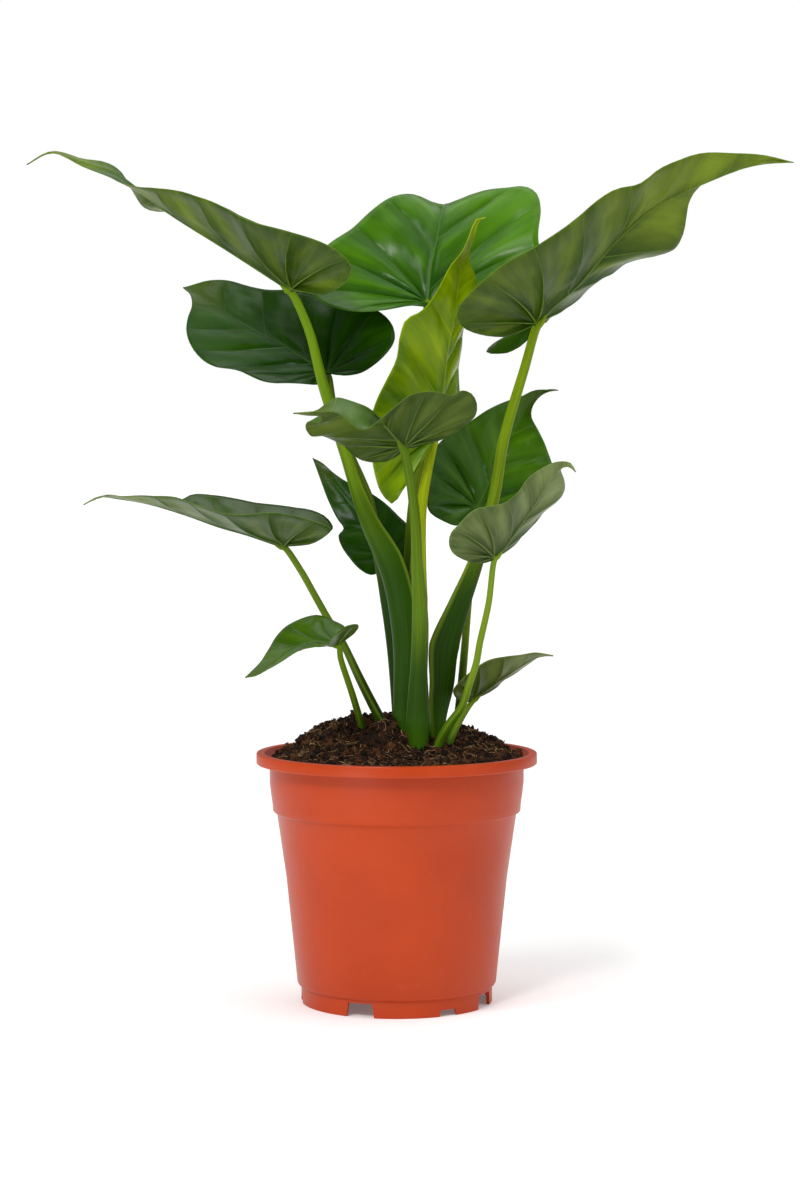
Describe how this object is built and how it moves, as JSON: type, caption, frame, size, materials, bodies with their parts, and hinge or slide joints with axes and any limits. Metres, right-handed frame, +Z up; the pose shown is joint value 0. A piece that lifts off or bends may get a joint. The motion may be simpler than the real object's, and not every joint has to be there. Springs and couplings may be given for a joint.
{
  "type": "potted chinese taro",
  "caption": "Young chinese taro plant with pointed heart-shaped leaves on long stalks, in a round plastic nursery pot of potting soil.",
  "frame": {"origin": "centre of the pot's foot on the floor, on the pot's axis", "axes": "+Z up, -Y towards the front of the plant, +X to its right"},
  "size_m": [0.4591, 0.2214, 0.5202],
  "materials": {
    "pot": "satin",
    "soil": "matte",
    "petiole": "satin",
    "leaf": "satin",
    "young_leaf": "satin"
  },
  "bodies": {
    "root": {"pot": "pot", "potting_soil": "soil", "main_shoot": "petiole", "stalk_right_back": "petiole", "stalk_right_front": "petiole", "stalk_small_left": "petiole", "stalk_small_right": "petiole", "blade_upper_left": "leaf", "blade_middle_left": "leaf", "blade_top_back": "leaf", "blade_young": "young_leaf", "blade_upper_right": "leaf", "blade_front": "leaf", "blade_right_back": "leaf", "blade_right_front": "leaf", "blade_low_left": "leaf", "blade_small_left": "leaf", "blade_small_right": "leaf", "blade_behind": "leaf"}
  },
  "joints": []
}
